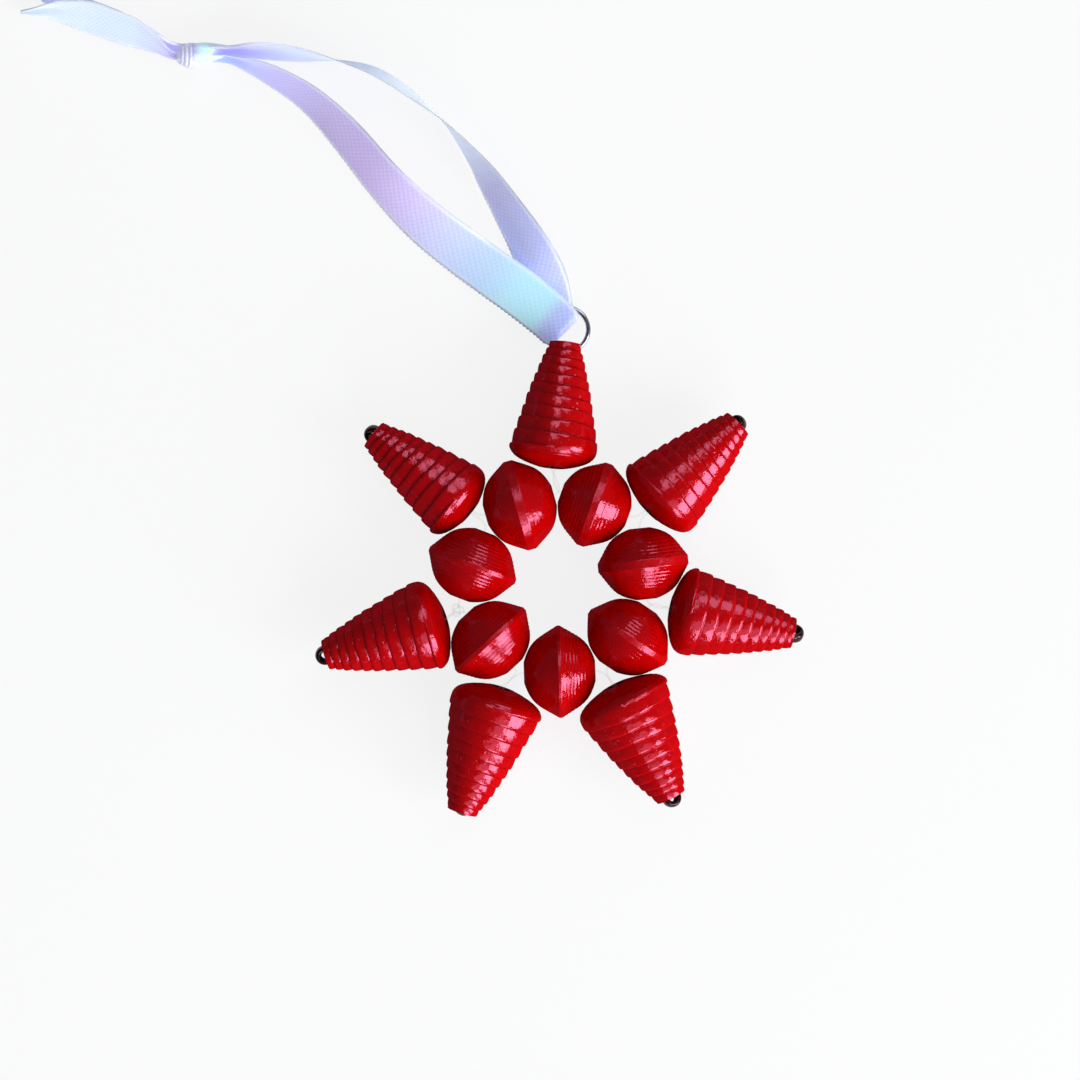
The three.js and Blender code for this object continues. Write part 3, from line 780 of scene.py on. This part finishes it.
knot_route = [
    (-48.9, 39.8, 1.0, 1.1), (-49.8, 39.8, 1.1, 1.3), (-50.8, 39.8, 1.25, 1.6),
    (-52.2, 39.6, 1.6, 1.85), (-53.2, 39.35, 1.8, 1.95), (-54, 39.25, 1.82, 1.95),
    (-55, 39.4, 1.6, 1.8), (-55.9, 39.6, 1.25, 1.5),
]
knot_colours = [
    (0, (200, 192, 246)), (1.6, (200, 220, 252)), (2.6, (194, 238, 252)), (3.6, (196, 230, 254)),
    (4.6, (200, 196, 248)), (5.4, (222, 222, 252)), (7.2, (212, 212, 252)),
]
knot_sides = 72
knot_step = 0.08
knot_rest = 0.06
knot_wrap_begins = 4.4
knot_wrap_rise = 0.5
knot_wrap_ends = 7
knot_wrap_fall = 0.6
knot_pleat = 0.62
knot_pleat_slant = 0.35
knot_pleat_depth = 0.09
knot_crease_depth = 0.1
knot_weave_half_width = 2.5
stations = [(Vector((x, y, high)), Vector((0, 0, 1)), wide) for x, y, wide, high in knot_route]
run = smooth_run(stations, knot_step)
points, weave = [], []
for middle, _, wide in run:
    high = middle.z
    gone = knot_route[0][0] - middle.x
    begun = min(1, max(0, (gone - knot_wrap_begins) / knot_wrap_rise))
    wrapped = begun * min(1, max(0, (knot_wrap_ends - gone) / knot_wrap_fall))
    pleat_depth = knot_pleat_depth * wrapped
    crease_depth = knot_crease_depth * (1 - wrapped)
    for side in range(knot_sides):
        turn = math.tau * side / knot_sides
        slant = gone + knot_pleat_slant * math.sin(turn)
        pleats = pleat_depth * (abs(math.sin(math.pi * slant / knot_pleat)) - 0.4)
        creases = crease_depth * math.sin(4 * turn + 1.1 * gone) * math.sin(2 * turn + 0.6)
        swell = 1 + pleats + creases
        height = max(knot_rest, high + high * swell * math.sin(turn))
        points.append((middle.x, middle.y + wide * swell * math.cos(turn), height))
        weave.append((gone, knot_weave_half_width * math.cos(turn), 0))
faces = [face[::-1] for face in rings_joined(len(run), knot_sides, False)]
faces.append(tuple(range(knot_sides)))
faces.append(tuple((len(run) - 1) * knot_sides + side for side in range(knot_sides - 1, -1, -1)))
knot = make_piece(
    "ribbon_knot_tied", points, faces, satin("satin_knot", knot_colours),
    Matrix.Translation((jump_ring_middle.x, jump_ring_middle.y, 0)), {"weave": weave})
for piece in (front, back, knot):
    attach(piece, "hanger")
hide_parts("ribbon_loop", "ribbon_tail_1")
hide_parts("ribbon_loop", "ribbon_tail_2")
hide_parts("ribbon_knot")
front_length * mm
back_length * mm

# Table. A plain sheet of white card, laid flat under the ornament. It looks white straight on and
# in the lacquer, and keeps a faint shadow of the ornament.

table_reach = 6
table_drop = 0.0002
table_white = 0.85
table_mesh = bpy.data.meshes.new("table")
table_corners = [
    (-table_reach, -table_reach, 0), (table_reach, -table_reach, 0),
    (table_reach, table_reach, 0), (-table_reach, table_reach, 0),
]
table_mesh.from_pydata(table_corners, [], [(0, 1, 2, 3)])
material, wire = new_finish("white_sheet")
camera_ray = wire.node("LightPath", {}, {}, "Is Camera Ray")
glossy_ray = wire.node("LightPath", {}, {}, "Is Glossy Ray")
through_ray = wire.node("LightPath", {}, {}, "Is Transmission Ray")
reflected = wire.math("MAXIMUM", glossy_ray, through_ray)
seen = wire.math("MAXIMUM", camera_ray, reflected)
lit = wire.node("BsdfDiffuse", {}, {"Color": paint(228, 228, 228)})
white = wire.node("Emission", {}, {"Color": (1, 1, 1, 1), "Strength": 1})
wire.node("MixShader", {}, {0: seen * table_white, 1: lit, 2: white}).surface()
table_mesh.materials.append(material)
table = bpy.data.objects.new("table", table_mesh)
bpy.context.collection.objects.link(table)
table.location.z = -table_drop

# Light. Two windows low on the right and below, a dimmer one over them, soft lamps to the side and
# above, and a dim room with pale walls. The lacquer shows the windows as its highlights.

room_strength = 0.08
wall_strength = 0.1
wall_top = 0.3
world = bpy.data.worlds.new("room")
bpy.context.scene.world = world
world.use_nodes = True
room = Wire(world.node_tree)
direction = room.node("TexCoord", {}, {}, "Generated")
upward = room.node("SeparateXYZ", {}, {"Vector": direction}, "Z")
wall = 1 - upward.between(0, wall_top)
strength = room_strength + wall * wall_strength
background = world.node_tree.nodes["Background"]
world.node_tree.links.new(strength.socket, background.inputs["Strength"])
background.inputs["Color"].default_value = (0.95, 0.97, 1, 1)


def lamp(name, bearing, elevation, distance, size, power, color):
    """A square-cornered lamp that faces the ornament from a bearing and an elevation in degrees."""
    light = bpy.data.lights.new(name, "AREA")
    light.shape = "RECTANGLE"
    light.size, light.size_y = size
    light.energy = power
    light.color = color
    holder = bpy.data.objects.new(name, light)
    bpy.context.collection.objects.link(holder)
    turn, rise = math.radians(bearing), math.radians(elevation)
    level = math.cos(rise)
    toward = Vector((math.cos(turn) * level, math.sin(turn) * level, math.sin(rise)))
    holder.location = toward * distance
    holder.rotation_euler = toward.to_track_quat("Z", "Y").to_euler()


lamp("window", -26, 25, 0.8, (0.42, 0.5), 6.6, (0.93, 0.97, 1))
lamp("second_window", -70, 27, 0.8, (0.32, 0.42), 3.5, (0.93, 0.97, 1))
lamp("upper_window", -62, 55, 0.9, (0.65, 0.36), 0.9, (0.96, 0.98, 1))
lamp("side_window", 56, 42, 0.8, (0.36, 0.36), 1.1, (0.96, 0.98, 1))
lamp("overhead", 92, 64, 1.05, (0.3, 0.5), 1.3, (1, 1, 1))

# Camera. Straight above the ornament, on a long lens, so that it sees little of the beads' sides.
# Its frame is as wide as the photograph, which has seven pixels in a millimetre.

lens = 200
sensor_width = 36
frame_width = 0.15429
view_middle = Vector((-0.002825, 0.002995, 0.006))
camera = bpy.data.objects.new("camera", bpy.data.cameras.new("camera"))
bpy.context.collection.objects.link(camera)
camera.data.lens = lens
camera.data.sensor_width = sensor_width
camera.location = view_middle + Vector((0, 0, frame_width * lens / sensor_width))
camera.data.clip_end = 20
bpy.context.scene.camera = camera
bpy.context.scene.view_settings.view_transform = "Standard"
